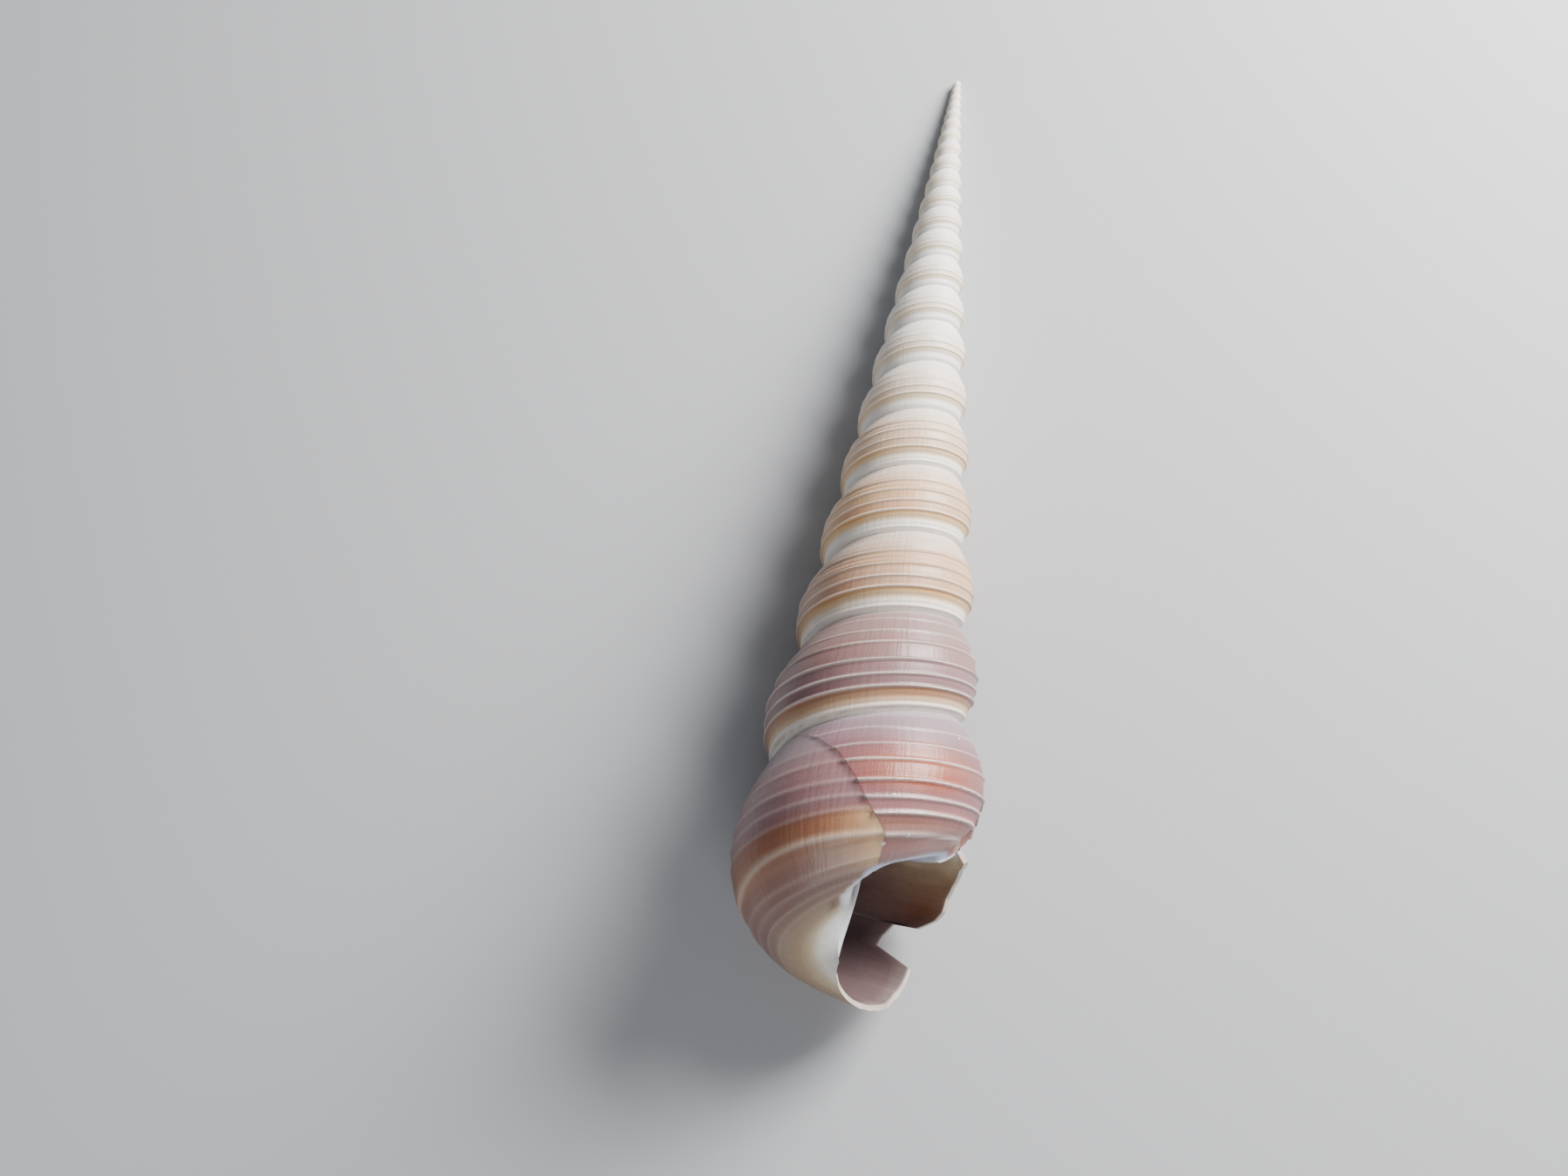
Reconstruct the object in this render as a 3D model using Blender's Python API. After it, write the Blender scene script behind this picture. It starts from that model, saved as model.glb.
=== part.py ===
"""A fossil screw shell lying on its side, grown as one piece, with its point towards +Y.

The wall is one surface that winds round a straight coiling axis. A place on it has two numbers:
turn, counted back from the mouth (0 at the mouth, negative towards the point), and across, which
runs from 0 at the seam above a whorl to 1 at the seam below it, and on to 2 over the base, where
the last whorl closes in on the pillar. Metres, +Z up, origin at the bottom centre.
"""

import math

import bmesh
import bpy
import numpy as np

# Driving dimensions. Lengths are in metres, angles in degrees.
SEAM_REACH = 0.110          # the spire's ideal point to the mouth's seam, along the coiling axis
GROWTH = 1.129              # each whorl is this much larger than the one before it
EARLY_GROWTH = 0.0001       # how much faster the first whorls grew, per turn squared
SPIRE_ANGLE = 5.45          # from the coiling axis to the line of the seams, at the mouth
SPIRE_CURVE = 0.138         # how much slimmer that angle is for each whorl towards the point
WHORL_COUNT = 22            # whorls that are left on the spire
WHORL_BULGE = 0.175         # how far a whorl swells out from its two seams, by its own height
SWELL_LEAN = 1.18           # above 1 the widest place moves down, towards the seam below
SWELL_FULL = 0.70           # below 1 the swell is fuller and meets the seams more steeply
REST_LEAN = 6.69            # the coiling axis against the ground, with the whorls resting on it
REST_WEAR = 0.00035         # height worn off underneath, where the shell lies on its last whorl
MOUTH_ANGLE = -3.4          # where the mouth's seam is round the axis, from +X towards up

# The last half whorl regrew after a break, longer than the ones before it.
REGROWTH_START = -0.97      # turn
REGROWTH_LENGTH = 0.45      # turns over which the new shape comes in
SEAM_DROP = 0.010           # these four are shares of SEAM_REACH
SEAM_FLARE = 0.0015
WHORL_STRETCH = 0.033
CORNER_TUCK = 0.003

# The base from the whorl's corner (1) in to the axis (0): share of the corner's radius, then
# height along the axis by the whorl's own size: on an early whorl, regrown, and at the mouth.
BASE_RADIUS = [0.00, 0.15, 0.32, 0.52, 0.72, 0.88, 1.00]
BASE_EARLY = [1.197, 1.187, 1.177, 1.168, 1.158, 1.145, 1.129]
BASE_REGROWN = [1.180, 1.188, 1.196, 1.1975, 1.190, 1.178, 1.162]
BASE_MOUTH = [1.178, 1.182, 1.187, 1.189, 1.185, 1.176, 1.162]
MOUTH_START = -0.40         # turn
MOUTH_LENGTH = 0.25         # turns
CORNER_PULL = 4             # the higher, the nearer to the corner the base starts to bend to it
PILLAR_RADIUS = 0.0065      # the pillar's winding edge, by the whorl's own size

# Inside the inner lip the base steps back towards the point, so that the mouth is open.
THROAT_DEPTH = 0.030        # by the whorl's own size
THROAT_TURN = -0.728        # turn of the inner lip's crest
THROAT_STEP = 0.035         # turns over which the base steps back behind the crest
THROAT_ACROSS = 1.20        # where the step starts across the base, from the corner's side
THROAT_SLOPE = 0.20         # share across over which it reaches its depth
THROAT_ROUND = 0.05         # how many turns earlier the crest comes at THROAT_ACROSS
THROAT_BEND = 0.30          # share across over which the crest bends back to THROAT_TURN

# The broken lip: across, then the turn where the wall ends.
LIP_EDGE = [
    (0.00, 0.000), (0.09, 0.017), (0.13, -0.028), (0.23, -0.065), (0.31, -0.084), (0.40, -0.095),
    (0.46, -0.109), (0.535, -0.139), (0.54, -0.174), (0.64, -0.188), (0.71, -0.193), (0.81, -0.142),
    (0.92, -0.144), (1.00, -0.147), (1.12, -0.150), (1.31, -0.166), (1.50, -0.190),
    (1.70, -0.220), (1.85, -0.255), (2.00, -0.320),
]
LIP_ACROSS = [across for across, _ in LIP_EDGE]
LIP_TURN = np.array([turn for _, turn in LIP_EDGE])
LIP_BLEND = 0.35            # turns behind the mouth over which the rings bend to meet the lip

# The wall and the hollow inside it.
LIP_WALL = 0.0005           # metres, at the broken lip
INNER_LIP_WALL = 0.0004     # metres, at the mouth where the whorl above is the hollow's roof
DEEP_WALL = 0.0010          # metres, deep inside
WALL_RAMP = 0.25            # turns over which the wall comes to its full thickness
SEAM_WALL = 1.5             # how much thicker the roof is where it meets the seam
HOLLOW_TURNS = 1.25         # how far back the hollow runs
ROOF_ACROSS = [2.0, 1.8, 1.6, 1.4, 1.25, 1.1]     # across the whorl above, which roofs the hollow
PILLAR_FACE = 0.0085        # the pillar's side in the hollow, by the whorl's own size
PILLAR_STEPS = 2

# How finely the surface is faceted.
STEPS_PER_TURN = 27         # an odd number leaves a facet, not an edge, under the last whorl
SLOPE_STEP = 0.01           # share across used to find which way the wall faces
SIDE_STEPS = [0.0, 0.18, 0.40, 0.64, 0.85, 1.0]
POINT_CAP = 0.35            # how far the blunt point reaches past the first whorl, in whorls

SHELL_COLOUR = (0.62, 0.42, 0.32, 1.0)
SHELL_ROUGHNESS = 0.45
SHARP_ANGLE = 40.0


def clear_scene():
    for item in list(bpy.data.objects):
        bpy.data.objects.remove(item, do_unlink=True)


def ease(value):
    """0 to 1 with a soft start and a soft end."""
    value = np.clip(value, 0.0, 1.0)
    return value * value * (3.0 - 2.0 * value)


def curve_through(knots, heights, places):
    """A smooth curve through a few points, read at the given places."""
    knots = np.asarray(knots, float)
    heights = np.asarray(heights, float)
    slopes = np.gradient(heights, knots)
    places = np.clip(np.asarray(places, float), knots[0], knots[-1])
    left = np.clip(np.searchsorted(knots, places, side="right") - 1, 0, len(knots) - 2)
    span = knots[left + 1] - knots[left]
    step = (places - knots[left]) / span
    rise = heights[left + 1] - heights[left]
    bend_in = slopes[left] * span - rise
    bend_out = rise - slopes[left + 1] * span
    bow = step * (1.0 - step) * (bend_in * (1.0 - step) + bend_out * step)
    return heights[left] + rise * step + bow


def whorl_size(turn):
    """How large the whorl is at this turn, as a share of its size at the mouth."""
    return np.exp(math.log(GROWTH) * turn + EARLY_GROWTH * turn * turn)


def regrown(turn):
    """0 on the old whorls, 1 on the part that grew after the break."""
    return ease((turn - REGROWTH_START) / REGROWTH_LENGTH)


def seam(turn):
    """Radius and height of the seam, as shares of SEAM_REACH."""
    angle = np.radians(SPIRE_ANGLE + SPIRE_CURVE * turn)
    size = whorl_size(turn)
    return np.tan(angle) * size + SEAM_FLARE * regrown(turn), size + SEAM_DROP * regrown(turn)


def whorl_corner(turn):
    """Where the whorl's side ends: the next seam, or the corner above the base."""
    radius, height = seam(turn + 1.0)
    last = turn > -1.0
    shift = WHORL_STRETCH * regrown(turn) - SEAM_DROP * regrown(turn + 1.0)
    height = height + np.where(last, shift * whorl_size(turn), 0.0)
    radius = radius - np.where(last, CORNER_TUCK * regrown(turn), 0.0)
    return radius, height


def wall_outline(turn, across):
    """Radius and height of the outer surface, as shares of SEAM_REACH."""
    turn, across = np.broadcast_arrays(np.asarray(turn, float), np.asarray(across, float))
    top_radius, top_height = seam(turn)
    low_radius, low_height = whorl_corner(turn)
    next_radius, next_height = seam(turn + 1.0)
    pitch = np.hypot(next_radius - top_radius, next_height - top_height)
    side = np.hypot(low_radius - top_radius, low_height - top_height)
    share = np.clip(across, 0.0, 1.0)
    swell = WHORL_BULGE * pitch * np.clip(np.sin(np.pi * share ** SWELL_LEAN), 0.0, 1.0) ** SWELL_FULL
    radius = top_radius + (low_radius - top_radius) * share
    height = top_height + (low_height - top_height) * share
    radius = radius + swell * (low_height - top_height) / side
    height = height - swell * (low_radius - top_radius) / side

    inward = np.clip(2.0 - across, 0.0, 1.0)
    size = whorl_size(turn)
    early = curve_through(BASE_RADIUS, BASE_EARLY, inward)
    late = curve_through(BASE_RADIUS, BASE_REGROWN, inward)
    at_mouth = curve_through(BASE_RADIUS, BASE_MOUTH, inward)
    late = late + (at_mouth - late) * ease((turn - MOUTH_START) / MOUTH_LENGTH)
    base_height = (early + (late - early) * regrown(turn)) * size
    base_height = base_height + (low_height - base_corner(turn) * size) * inward ** CORNER_PULL
    base_height = base_height - throat(turn, across) * size
    pillar = PILLAR_RADIUS * size
    base_radius = pillar + (low_radius - pillar) * inward
    on_base = across > 1.0
    return np.where(on_base, base_radius, radius), np.where(on_base, base_height, height)


def throat(turn, across):
    """How far the base steps back inside the inner lip, by the whorl's own size."""
    crest = THROAT_TURN - THROAT_ROUND * (1.0 - ease((across - THROAT_ACROSS) / THROAT_BEND))
    inside = ease((crest - turn) / THROAT_STEP)
    return THROAT_DEPTH * inside * ease((across - THROAT_ACROSS) / THROAT_SLOPE)


def base_corner(turn):
    """Height of the base's own outline at the corner, by the whorl's own size."""
    return BASE_EARLY[-1] + (BASE_REGROWN[-1] - BASE_EARLY[-1]) * regrown(turn)


def place(radius, height, turn):
    """World points from shares of SEAM_REACH and the turn, before the shell is set down."""
    angle = math.radians(MOUTH_ANGLE) + 2.0 * np.pi * np.asarray(turn, float)
    lean = math.radians(REST_LEAN)
    side = radius * np.cos(angle)
    lift = radius * np.sin(angle)
    along_y = lift * math.sin(lean) - height * math.cos(lean)
    along_z = lift * math.cos(lean) + height * math.sin(lean)
    return np.stack([side, along_y, along_z], axis=-1) * SEAM_REACH


def inset_outline(turn, across, depth):
    """The outer surface moved inwards by depth, in metres, within the plane of its section."""
    low = np.clip(across - SLOPE_STEP, 0.0, 2.0)
    high = np.clip(across + SLOPE_STEP, 0.0, 2.0)
    radius_low, height_low = wall_outline(turn, low)
    radius_high, height_high = wall_outline(turn, high)
    run = np.hypot(radius_high - radius_low, height_high - height_low)
    radius, height = wall_outline(turn, across)
    radius = radius - depth / SEAM_REACH * (height_high - height_low) / run
    height = height + depth / SEAM_REACH * (radius_high - radius_low) / run
    return radius, height


def wall_depth(at_lip, behind_lip):
    """Wall thickness, thin at the lip and full a little way behind it."""
    return at_lip + (DEEP_WALL - at_lip) * ease(behind_lip / WALL_RAMP)


class Surface:
    """Points and faces of one mesh, collected row by row."""

    def __init__(self):
        self.points = []
        self.faces = []

    def add_row(self, row):
        first = len(self.points)
        self.points.extend(tuple(point) for point in row)
        return list(range(first, first + len(row)))

    def face(self, *corners):
        self.faces.append(corners)

    def strip(self, row_a, row_b):
        """Quads between two rows with the same number of points."""
        for a_here, a_next, b_next, b_here in zip(row_a, row_a[1:], row_b[1:], row_b):
            self.face(a_here, a_next, b_next, b_here)

    def zip_rows(self, row_a, row_b):
        """Triangles between two rows with different numbers of points."""
        last_a = len(row_a) - 1
        last_b = len(row_b) - 1
        at_a = 0
        at_b = 0
        while at_a < last_a or at_b < last_b:
            a_is_behind = (at_a + 1) * last_b <= (at_b + 1) * last_a
            if at_b == last_b or (at_a < last_a and a_is_behind):
                self.face(row_a[at_a], row_a[at_a + 1], row_b[at_b])
                at_a += 1
            else:
                self.face(row_a[at_a], row_b[at_b + 1], row_b[at_b])
                at_b += 1


def add_spire(surface):
    """Every whorl but the last. Each row starts on the end of the row one whorl before it."""
    rows = []
    for step in range((WHORL_COUNT - 1) * STEPS_PER_TURN):
        turn = -WHORL_COUNT + step / STEPS_PER_TURN
        points = place(*wall_outline(turn, SIDE_STEPS), turn)
        if step < STEPS_PER_TURN:
            row = surface.add_row(points)
        else:
            row = [rows[step - STEPS_PER_TURN][-1]] + surface.add_row(points[1:])
        if rows:
            surface.strip(rows[-1], row)
        rows.append(row)
    return rows


def close_point(surface, rows):
    """A fan of triangles from the blunt point to the first whorl's upper edge."""
    tip_height = seam(-WHORL_COUNT - POINT_CAP)[1]
    tip = surface.add_row([place(0.0, tip_height, 0.0)])[0]
    first_edge = rows[0][::-1] + [row[0] for row in rows[1:STEPS_PER_TURN + 1]]
    for here, after in zip(first_edge, first_edge[1:]):
        surface.face(here, after, tip)


def add_last_whorl(surface, spire_rows):
    """The last whorl's side and base. Its rings bend near the mouth to end on the broken lip."""
    corner = LIP_ACROSS.index(1.0)
    rows = []
    for step in range(STEPS_PER_TURN + 1):
        turn = -1.0 + step / STEPS_PER_TURN
        squeeze = max((turn + LIP_BLEND) / LIP_BLEND, 0.0)
        ring = turn + squeeze * LIP_TURN
        points = place(*wall_outline(ring, LIP_ACROSS), ring)
        if step < STEPS_PER_TURN:
            seam_point = spire_rows[step - STEPS_PER_TURN][-1]
        else:
            seam_point = rows[0][corner]
        rows.append([seam_point] + surface.add_row(points[1:]))
    surface.zip_rows(spire_rows[-1], rows[0][:corner + 1])
    for row, after in zip(rows, rows[1:]):
        surface.strip(row, after)
    return rows


def hollow_section(turn):
    """One ring of the hollow: outer wall, base, pillar, then the whorl above, back to the seam.

    turn holds one value for each point of the ring.
    """
    outer = len(LIP_ACROSS) - 1
    behind_lip = LIP_TURN[1:] - turn[1:outer + 1]
    radius = np.zeros(len(turn))
    height = np.zeros(len(turn))

    seam_radius, seam_height = seam(turn[0])
    radius[0] = seam_radius
    roof_depth = wall_depth(INNER_LIP_WALL, -turn[0])
    height[0] = seam_height + SEAM_WALL * roof_depth / SEAM_REACH
    wall = slice(1, outer + 1)
    depth = wall_depth(LIP_WALL, behind_lip)
    radius[wall], height[wall] = inset_outline(turn[wall], np.array(LIP_ACROSS[1:]), depth)

    roof = slice(len(turn) - len(ROOF_ACROSS), len(turn))
    above = turn[roof] - 1.0
    radius[roof], height[roof] = inset_outline(above, np.array(ROOF_ACROSS), -roof_depth)

    pillar = slice(outer + 1, roof.start)
    share = np.arange(1, PILLAR_STEPS + 1) / (PILLAR_STEPS + 1)
    floor_height = wall_outline(turn[pillar], 2.0)[1] - DEEP_WALL / SEAM_REACH
    roof_height = wall_outline(turn[pillar] - 1.0, 2.0)[1] + roof_depth / SEAM_REACH
    radius[pillar] = PILLAR_FACE * whorl_size(turn[pillar])
    height[pillar] = floor_height + (roof_height - floor_height) * share
    return place(radius, height, turn)


def add_hollow(surface, body_rows):
    """The hollow that winds up from the mouth, its closed end, and the rim round the mouth."""
    pillar_start = LIP_TURN[-1] * (1.0 - np.arange(1, PILLAR_STEPS + 1) / (PILLAR_STEPS + 1))
    start = np.concatenate([[0.0], LIP_TURN[1:], pillar_start, np.zeros(len(ROOF_ACROSS))])
    count = round(HOLLOW_TURNS * STEPS_PER_TURN)
    rows = []
    for step in range(count + 1):
        share = step / count
        turn = start * (1.0 - share) - HOLLOW_TURNS * share
        rows.append(surface.add_row(hollow_section(turn)))
    for row, after in zip(rows, rows[1:]):
        surface.strip(after + after[:1], row + row[:1])
    end = rows[-1]
    middle = np.mean([surface.points[corner] for corner in end], axis=0)
    centre = surface.add_row([middle])[0]
    for here, after in zip(end, end[1:] + end[:1]):
        surface.face(here, centre, after)
    add_rim(surface, body_rows, rows[0])


def add_rim(surface, body_rows, ring):
    """The edge of the mouth: broken lip, the pillar's winding edge, then the inner lip."""
    corner = LIP_ACROSS.index(1.0)
    outer = len(LIP_ACROSS) - 1
    surface.strip(ring[:outer + 1], body_rows[-1])
    roof_start = len(ring) - len(ROOF_ACROSS)
    winding_edge = [row[-1] for row in body_rows[::-1]]
    surface.zip_rows(ring[outer:roof_start + 1], winding_edge)
    inner_lip = body_rows[0][corner:][::-1]
    surface.zip_rows(ring[roof_start:] + ring[:1], inner_lip)


def shell_material():
    material = bpy.data.materials.new("shell")
    material.use_nodes = True
    shader = material.node_tree.nodes["Principled BSDF"]
    shader.inputs["Base Color"].default_value = SHELL_COLOUR
    shader.inputs["Roughness"].default_value = SHELL_ROUGHNESS
    shader.inputs["Metallic"].default_value = 0.0
    return material


def finish_solid(mesh):
    """Turns the faces out and cuts the worn flat that the shell rests on."""
    solid = bmesh.new()
    solid.from_mesh(mesh)
    everything = solid.verts[:] + solid.edges[:] + solid.faces[:]
    ground = (0.0, 0.0, REST_WEAR)
    cut = bmesh.ops.bisect_plane(
        solid, geom=everything, plane_co=ground, plane_no=(0.0, 0.0, -1.0), clear_outer=True
    )
    rim = [item for item in cut["geom_cut"] if isinstance(item, bmesh.types.BMEdge)]
    bmesh.ops.contextual_create(solid, geom=rim)
    bmesh.ops.recalc_face_normals(solid, faces=solid.faces)
    bmesh.ops.translate(solid, verts=solid.verts, vec=(0.0, 0.0, -REST_WEAR))
    solid.to_mesh(mesh)
    solid.free()


def make_shell():
    surface = Surface()
    spire_rows = add_spire(surface)
    close_point(surface, spire_rows)
    body_rows = add_last_whorl(surface, spire_rows)
    add_hollow(surface, body_rows)

    points = np.array(surface.points)
    low = points.min(axis=0)
    high = points.max(axis=0)
    foot = np.array([(low[0] + high[0]) / 2.0, (low[1] + high[1]) / 2.0, low[2]])
    mesh = bpy.data.meshes.new("shell")
    mesh.from_pydata((points - foot).tolist(), [], surface.faces)
    finish_solid(mesh)
    mesh.materials.append(shell_material())
    mesh.shade_smooth()
    mesh.set_sharp_from_angle(angle=math.radians(SHARP_ANGLE))
    shell = bpy.data.objects.new("shell", mesh)
    bpy.context.scene.collection.objects.link(shell)
    return shell


clear_scene()
make_shell()
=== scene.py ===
import math

import bpy
import bmesh
import numpy as np
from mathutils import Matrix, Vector


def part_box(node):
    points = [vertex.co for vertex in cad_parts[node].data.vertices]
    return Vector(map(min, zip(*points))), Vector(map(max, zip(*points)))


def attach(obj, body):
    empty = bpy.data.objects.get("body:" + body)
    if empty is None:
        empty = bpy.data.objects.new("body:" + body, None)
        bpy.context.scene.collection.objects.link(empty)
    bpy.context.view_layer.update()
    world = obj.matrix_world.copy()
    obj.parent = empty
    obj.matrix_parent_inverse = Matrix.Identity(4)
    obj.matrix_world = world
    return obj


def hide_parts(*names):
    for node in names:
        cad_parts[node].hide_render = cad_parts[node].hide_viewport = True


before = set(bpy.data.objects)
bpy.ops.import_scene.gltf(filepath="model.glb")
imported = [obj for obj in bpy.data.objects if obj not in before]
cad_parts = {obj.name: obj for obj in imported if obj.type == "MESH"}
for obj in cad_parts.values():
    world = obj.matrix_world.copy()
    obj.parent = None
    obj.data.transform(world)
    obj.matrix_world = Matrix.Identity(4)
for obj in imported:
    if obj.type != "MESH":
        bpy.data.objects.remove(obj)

scene = bpy.context.scene
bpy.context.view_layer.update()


# ---------------------------------------------------------------- the wall's growth
# A screw shell is a tube of shell stuff that the animal laid down at its mouth, turn after
# turn, each one a little larger. A place on the wall has a turn, counted back from the mouth,
# and a share across the whorl: 0 at the seam above, 1 at the seam below, 2 at the pillar.

shell_low, shell_high = (np.array(corner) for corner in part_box("shell"))
SHELL_LENGTH = shell_high[1] - shell_low[1]
SEAM_REACH = 0.91479 * SHELL_LENGTH     # the spire's ideal point to the mouth's seam, on the axis
GROWTH = 1.129              # each whorl is about this much larger than the one before it
EARLY_GROWTH = 0.0001       # how much less the first whorls grew, per turn squared
SPIRE_ANGLE = 5.45          # degrees from the coiling axis to the line of the seams, at the mouth
SPIRE_CURVE = 0.138         # how much slimmer that angle is for each whorl towards the point
WHORL_COUNT = 22            # whorls that are left, with the last one
WHORL_BULGE = 0.175         # how far a whorl swells out from its two seams, by its own height
SWELL_LEAN = 1.18           # above 1 the widest place moves down, towards the seam below
SWELL_FULL = 0.70           # below 1 the swell is fuller and meets the seams more steeply
REST_LEAN = 6.69            # degrees from the ground to the coiling axis
MOUTH_ANGLE = -3.4          # degrees round the axis to the mouth's seam, from +X towards up

# The last whorl changes its shape as it grows: longer, with an arched base.
REGROWTH_START = -0.97      # turn
REGROWTH_LENGTH = 0.45      # turns over which the new shape comes in
SEAM_DROP = 0.010           # this and the next one are shares of SEAM_REACH
SEAM_FLARE = 0.0015
WHORL_STRETCH = 0.033       # by the whorl's own size
CORNER_TUCK = 0.003         # a share of SEAM_REACH

# The base from the pillar's edge (0) out to the whorl's corner (1): share of the way, then
# height along the axis by the whorl's own size: on an early whorl, regrown, and at the mouth.
BASE_RADIUS = [0.00, 0.15, 0.32, 0.52, 0.72, 0.88, 1.00]
BASE_EARLY = [1.197, 1.187, 1.177, 1.168, 1.158, 1.145, 1.129]
BASE_REGROWN = [1.180, 1.188, 1.196, 1.1975, 1.190, 1.178, 1.162]
BASE_MOUTH = [1.178, 1.182, 1.187, 1.189, 1.185, 1.176, 1.162]
MOUTH_START = -0.40         # turn
MOUTH_LENGTH = 0.25         # turns
CORNER_PULL = 4             # the higher, the nearer to the corner the base starts to bend to it
PILLAR_RADIUS = 0.0065      # the pillar's winding edge, by the whorl's own size

# Inside the inner lip the base steps back towards the point, so that the mouth is open.
THROAT_DEPTH = 0.030        # by the whorl's own size
THROAT_TURN = -0.728        # turn of the inner lip's crest
THROAT_STEP = 0.035         # turns over which the base steps back behind the crest
THROAT_ACROSS = 1.20        # where the step starts across the base, from the corner's side
THROAT_SLOPE = 0.20         # share across over which it reaches its depth
THROAT_ROUND = 0.05         # how many turns earlier the crest comes at THROAT_ACROSS
THROAT_BEND = 0.3           # share across over which the crest bends back to THROAT_TURN

SLOPE_STEP = 0.004          # share across to both sides that gives the wall's own direction


def ease(value):
    """0 to 1 with a soft start and a soft end."""
    value = np.clip(value, 0.0, 1.0)
    return value * value * (3.0 - 2.0 * value)


def curve_through(knots, heights, places):
    """A smooth curve through a few points, read at the given places."""
    knots = np.asarray(knots, float)
    heights = np.asarray(heights, float)
    slopes = np.gradient(heights, knots)
    places = np.clip(np.asarray(places, float), knots[0], knots[-1])
    left = np.clip(np.searchsorted(knots, places, side="right") - 1, 0, len(knots) - 2)
    span = knots[left + 1] - knots[left]
    step = (places - knots[left]) / span
    rise = heights[left + 1] - heights[left]
    bend_in = slopes[left] * span - rise
    bend_out = rise - slopes[left + 1] * span
    bow = step * (1.0 - step) * (bend_in * (1.0 - step) + bend_out * step)
    return heights[left] + rise * step + bow


def whorl_size(turn):
    """How large the shell was at this turn, against its size at the mouth."""
    return np.exp(math.log(GROWTH) * turn + EARLY_GROWTH * turn * turn)


def regrown(turn):
    """0 on the spire, and 1 where the last whorl has its new shape."""
    return ease((turn - REGROWTH_START) / REGROWTH_LENGTH)


def seam(turn):
    """Radius and height of the seam, as shares of SEAM_REACH."""
    angle = np.radians(SPIRE_ANGLE + SPIRE_CURVE * turn)
    size = whorl_size(turn)
    return np.tan(angle) * size + SEAM_FLARE * regrown(turn), size + SEAM_DROP * regrown(turn)


def whorl_corner(turn):
    """Where the whorl's side ends: at the seam below, or on the last whorl at its corner."""
    radius, height = seam(turn + 1.0)
    last = turn > -1.0
    shift = WHORL_STRETCH * regrown(turn) - SEAM_DROP * regrown(turn + 1.0)
    height = height + np.where(last, shift * whorl_size(turn), 0.0)
    radius = radius - np.where(last, CORNER_TUCK * regrown(turn), 0.0)
    return radius, height


def throat_crest(across):
    """Turn of the inner lip's crest at a place across the base."""
    return THROAT_TURN - THROAT_ROUND * (1.0 - ease((across - THROAT_ACROSS) / THROAT_BEND))


def throat(turn, across):
    """1 where the base has stepped back inside the inner lip, 0 outside it."""
    inside = ease((throat_crest(across) - turn) / THROAT_STEP)
    return inside * ease((across - THROAT_ACROSS) / THROAT_SLOPE)


def wall_outline(turn, across):
    """Radius and height of the wall's smooth outside, as shares of SEAM_REACH."""
    turn, across = np.broadcast_arrays(np.asarray(turn, float), np.asarray(across, float))
    top_radius, top_height = seam(turn)
    low_radius, low_height = whorl_corner(turn)
    next_radius, next_height = seam(turn + 1.0)
    pitch = np.hypot(next_radius - top_radius, next_height - top_height)
    side = np.hypot(low_radius - top_radius, low_height - top_height)
    share = np.clip(across, 0.0, 1.0)
    swell_shape = np.clip(np.sin(np.pi * share ** SWELL_LEAN), 0.0, 1.0) ** SWELL_FULL
    swell = WHORL_BULGE * pitch * swell_shape
    radius = top_radius + (low_radius - top_radius) * share
    height = top_height + (low_height - top_height) * share
    radius = radius + swell * (low_height - top_height) / side
    height = height - swell * (low_radius - top_radius) / side

    inward = np.clip(2.0 - across, 0.0, 1.0)
    size = whorl_size(turn)
    early = curve_through(BASE_RADIUS, BASE_EARLY, inward)
    late = curve_through(BASE_RADIUS, BASE_REGROWN, inward)
    at_mouth = curve_through(BASE_RADIUS, BASE_MOUTH, inward)
    late = late + (at_mouth - late) * ease((turn - MOUTH_START) / MOUTH_LENGTH)
    corner = BASE_EARLY[-1] + (BASE_REGROWN[-1] - BASE_EARLY[-1]) * regrown(turn)
    base_height = (early + (late - early) * regrown(turn)) * size
    base_height = base_height + (low_height - corner * size) * inward ** CORNER_PULL
    base_height = base_height - THROAT_DEPTH * throat(turn, across) * size
    pillar = PILLAR_RADIUS * size
    base_radius = pillar + (low_radius - pillar) * inward
    on_base = across > 1.0
    return np.where(on_base, base_radius, radius), np.where(on_base, base_height, height)


def raised_outline(turn, across, height_off):
    """The wall's outline moved out by height_off, in metres, within its own section."""
    low = np.clip(across - SLOPE_STEP, 0.0, 2.0)
    high = np.clip(across + SLOPE_STEP, 0.0, 2.0)
    radius_low, height_low = wall_outline(turn, low)
    radius_high, height_high = wall_outline(turn, high)
    run = np.hypot(radius_high - radius_low, height_high - height_low)
    radius, height = wall_outline(turn, across)
    radius = radius + height_off / SEAM_REACH * (height_high - height_low) / run
    height = height - height_off / SEAM_REACH * (radius_high - radius_low) / run
    return radius, height


def place(radius, height, turn):
    """World points from shares of SEAM_REACH and the turn, before the shell is set down."""
    angle = math.radians(MOUTH_ANGLE) + 2.0 * np.pi * np.asarray(turn, float)
    lean = math.radians(REST_LEAN)
    side = radius * np.cos(angle)
    lift = radius * np.sin(angle)
    along_y = lift * math.sin(lean) - height * math.cos(lean)
    along_z = lift * math.cos(lean) + height * math.sin(lean)
    return np.stack([side, along_y, along_z], axis=-1) * SEAM_REACH


# ---------------------------------------------------------------- cords, threads and the old break
# Raised white spiral cords run round every whorl. The lip was once broken off; the animal
# mended it from inside, so the newer wall starts lower, and its cords are nearly worn smooth.

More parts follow.
